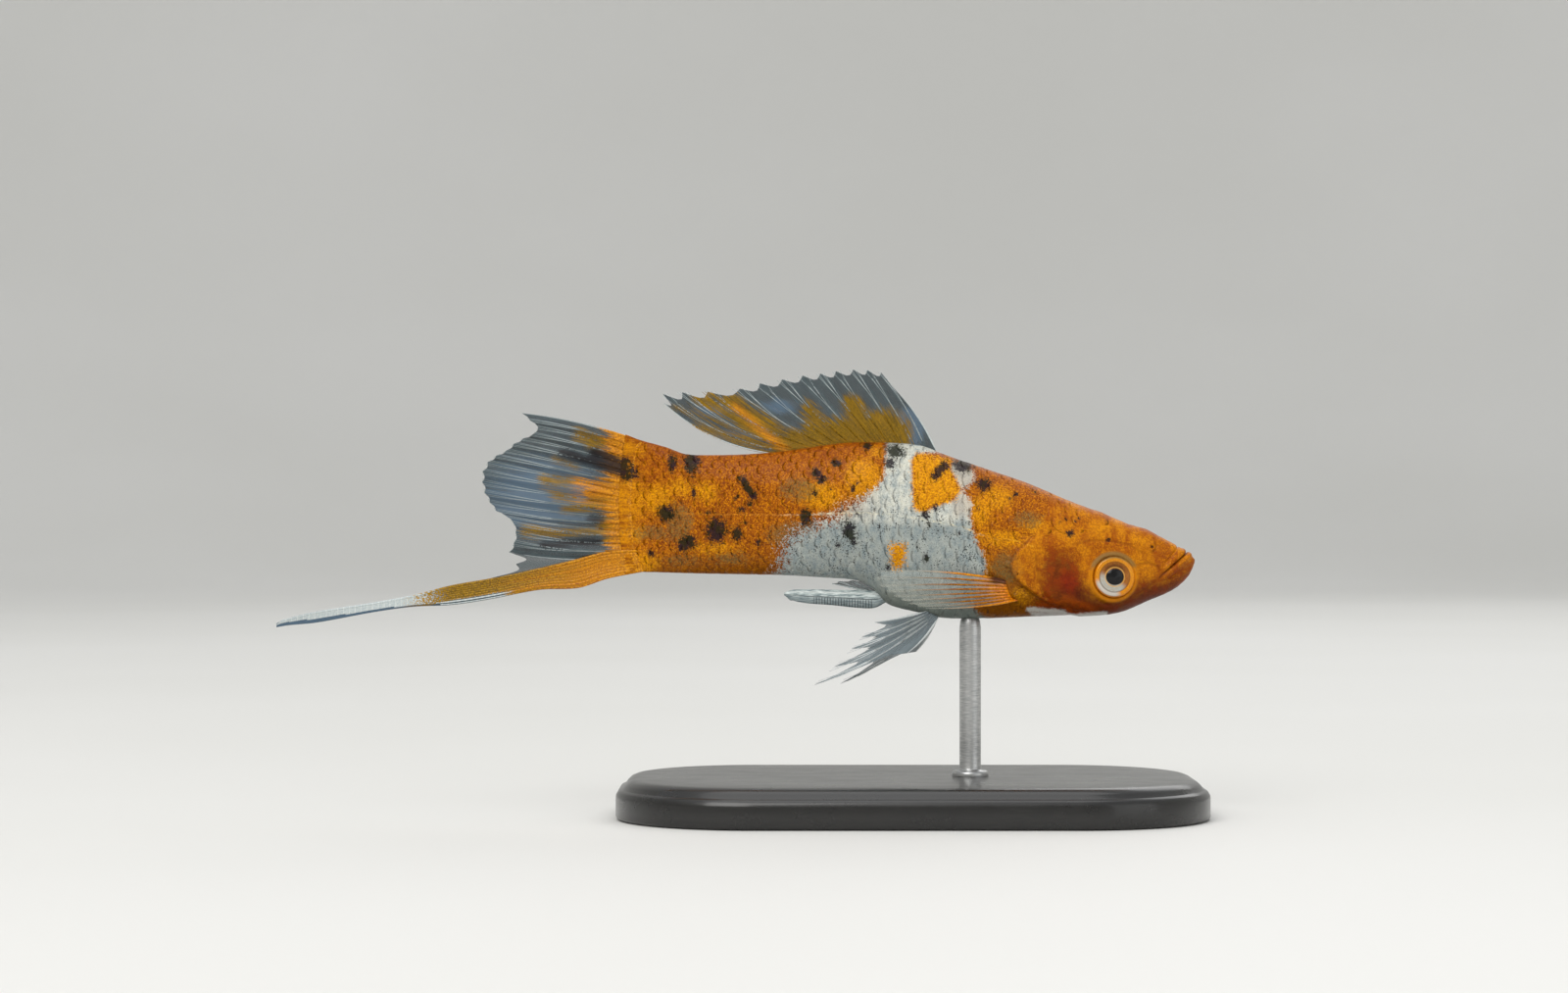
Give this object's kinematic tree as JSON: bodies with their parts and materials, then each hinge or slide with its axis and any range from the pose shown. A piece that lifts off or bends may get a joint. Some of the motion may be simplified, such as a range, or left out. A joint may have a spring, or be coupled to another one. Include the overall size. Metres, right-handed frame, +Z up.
{
  "type": "swordtail",
  "caption": "Life-size still model of a male koi-patterned swordtail with a long tail sword, swimming on a plain display stand.",
  "frame": {"origin": "centre of the stand's flat underside", "axes": "+X towards the fish's snout, along its length; +Z up; the fish's right flank faces -Y"},
  "size_m": [0.0952, 0.036, 0.0454],
  "materials": {
    "orange_skin": "wet, finely scaled skin, orange with brown flecks",
    "pale_skin": "wet, finely scaled skin, grey-white with orange and black patches",
    "fin": "thin clear web between orange to grey rays",
    "sword": "glossy orange-yellow turning silvery at the tip",
    "eye": "high gloss, gold and silver iris with a black pupil",
    "stand_base": "satin black",
    "stand_rod": "satin steel"
  },
  "bodies": {
    "root": {"head": "orange_skin", "lower_jaw": "orange_skin", "gill_cover_right": "orange_skin", "gill_cover_left": "orange_skin", "eye_right": "eye", "eye_left": "eye", "trunk": "pale_skin", "tail_stalk": "orange_skin", "dorsal_fin": "fin", "tail_fin": "fin", "sword": "sword", "gonopodium": "fin", "pelvic_fin_right": "fin", "pelvic_fin_left": "fin", "pectoral_fin_right": "fin", "pectoral_fin_left": "fin", "stand_base": "stand_base", "stand_rod": "stand_rod"}
  },
  "joints": []
}
